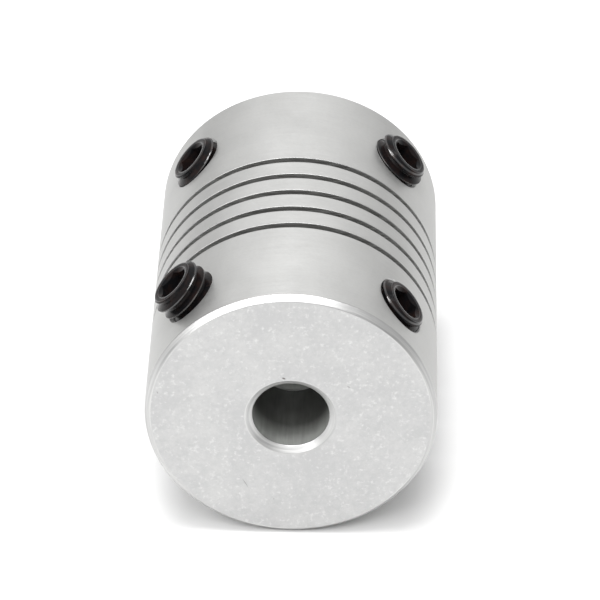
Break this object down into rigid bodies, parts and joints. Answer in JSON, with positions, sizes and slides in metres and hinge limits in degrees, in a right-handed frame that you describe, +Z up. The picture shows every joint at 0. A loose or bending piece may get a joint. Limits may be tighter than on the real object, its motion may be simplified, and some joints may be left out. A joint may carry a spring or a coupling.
{
  "type": "beam coupling",
  "caption": "Flexible shaft coupling: two hubs joined by thin slit rings, which flex to take up shaft misalignment, with radial set screws that grip the shafts.",
  "frame": {"origin": "on the shafts' axis, at half of the body's length", "axes": "+Y along the shafts' axis, from the narrow bore's face to the wide bore's face; +Z up between the set screws, away from the webs"},
  "size_m": [0.019, 0.025, 0.019],
  "materials": {
    "aluminium_body": "turned satin aluminium, mottled light grey end faces",
    "black_steel_screw": "black oxide, slightly oily"
  },
  "bodies": {
    "front_hub": {"front_hub": "aluminium_body"},
    "beam_ring_1": {"beam_ring_1": "aluminium_body"},
    "beam_ring_2": {"beam_ring_2": "aluminium_body"},
    "beam_ring_3": {"beam_ring_3": "aluminium_body"},
    "beam_ring_4": {"beam_ring_4": "aluminium_body"},
    "rear_hub": {"rear_hub": "aluminium_body"},
    "cup_point_front_left": {"cup_point_front_left": "black_steel_screw"},
    "set_screw_front_left": {"set_screw_front_left": "black_steel_screw"},
    "cup_point_front_right": {"cup_point_front_right": "black_steel_screw"},
    "set_screw_front_right": {"set_screw_front_right": "black_steel_screw"},
    "cup_point_rear_left": {"cup_point_rear_left": "black_steel_screw"},
    "set_screw_rear_left": {"set_screw_rear_left": "black_steel_screw"},
    "cup_point_rear_right": {"cup_point_rear_right": "black_steel_screw"},
    "set_screw_rear_right": {"set_screw_rear_right": "black_steel_screw"}
  },
  "joints": [
    {"name": "slit_1_bend", "type": "hinge", "parent": "front_hub", "child": "beam_ring_1", "pos_m": [-0.00583, -0.00426, -0.00583], "axis": [0.7071, 0, -0.7071], "range_deg": [-1.2, 1.2], "stiffness_Nm_per_rad": 9},
    {"name": "slit_2_bend", "type": "hinge", "parent": "beam_ring_1", "child": "beam_ring_2", "pos_m": [0.00583, -0.00231, -0.00583], "axis": [0.7071, 0, 0.7071], "range_deg": [-1.2, 1.2], "stiffness_Nm_per_rad": 9},
    {"name": "slit_3_twist", "type": "hinge", "parent": "beam_ring_2", "child": "beam_ring_3", "pos_m": [0, -0.00036, 0], "axis": [0, 1, 0], "range_deg": [-1, 1], "stiffness_Nm_per_rad": 60},
    {"name": "slit_4_bend", "type": "hinge", "parent": "beam_ring_3", "child": "beam_ring_4", "pos_m": [0.00583, 0.00159, -0.00583], "axis": [0.7071, 0, 0.7071], "range_deg": [-1.2, 1.2], "stiffness_Nm_per_rad": 9},
    {"name": "slit_5_bend", "type": "hinge", "parent": "beam_ring_4", "child": "rear_hub", "pos_m": [-0.00583, 0.00354, -0.00583], "axis": [0.7071, 0, -0.7071], "range_deg": [-1.2, 1.2], "stiffness_Nm_per_rad": 9},
    {"name": "screw_front_left_advance", "type": "slide", "parent": "front_hub", "child": "cup_point_front_left", "axis": [-0.7071, 0, 0.7071], "range_m": [-0.00445, 0.0015]},
    {"name": "screw_front_left_turn", "type": "hinge", "parent": "cup_point_front_left", "child": "set_screw_front_left", "pos_m": [-0.00495, -0.0085, 0.00495], "axis": [-0.7071, 0, 0.7071], "range_deg": [-2290, 773]},
    {"name": "screw_front_right_advance", "type": "slide", "parent": "front_hub", "child": "cup_point_front_right", "axis": [0.7547, 0, 0.6561], "range_m": [-0.0033, 0.00265]},
    {"name": "screw_front_right_turn", "type": "hinge", "parent": "cup_point_front_right", "child": "set_screw_front_right", "pos_m": [0.00442, -0.0085, 0.00384], "axis": [0.7547, 0, 0.6561], "range_deg": [-1699, 1364]},
    {"name": "screw_rear_left_advance", "type": "slide", "parent": "rear_hub", "child": "cup_point_rear_left", "axis": [-0.7373, 0, 0.6756], "range_m": [-0.00195, 0.0025]},
    {"name": "screw_rear_left_turn", "type": "hinge", "parent": "cup_point_rear_left", "child": "set_screw_rear_left", "pos_m": [-0.00442, 0.0079, 0.00405], "axis": [-0.7373, 0, 0.6756], "range_deg": [-1004, 1287]},
    {"name": "screw_rear_right_advance", "type": "slide", "parent": "rear_hub", "child": "cup_point_rear_right", "axis": [0.7193, 0, 0.6947], "range_m": [-0.00235, 0.0021]},
    {"name": "screw_rear_right_turn", "type": "hinge", "parent": "cup_point_rear_right", "child": "set_screw_rear_right", "pos_m": [0.0046, 0.0079, 0.00445], "axis": [0.7193, 0, 0.6947], "range_deg": [-1210, 1082]}
  ],
  "couplings": [
    {"joint": "screw_front_left_turn", "follows": "screw_front_left_advance", "rad_per_m": 8976},
    {"joint": "screw_front_right_turn", "follows": "screw_front_right_advance", "rad_per_m": 8976},
    {"joint": "screw_rear_left_turn", "follows": "screw_rear_left_advance", "rad_per_m": 8976},
    {"joint": "screw_rear_right_turn", "follows": "screw_rear_right_advance", "rad_per_m": 8976}
  ]
}
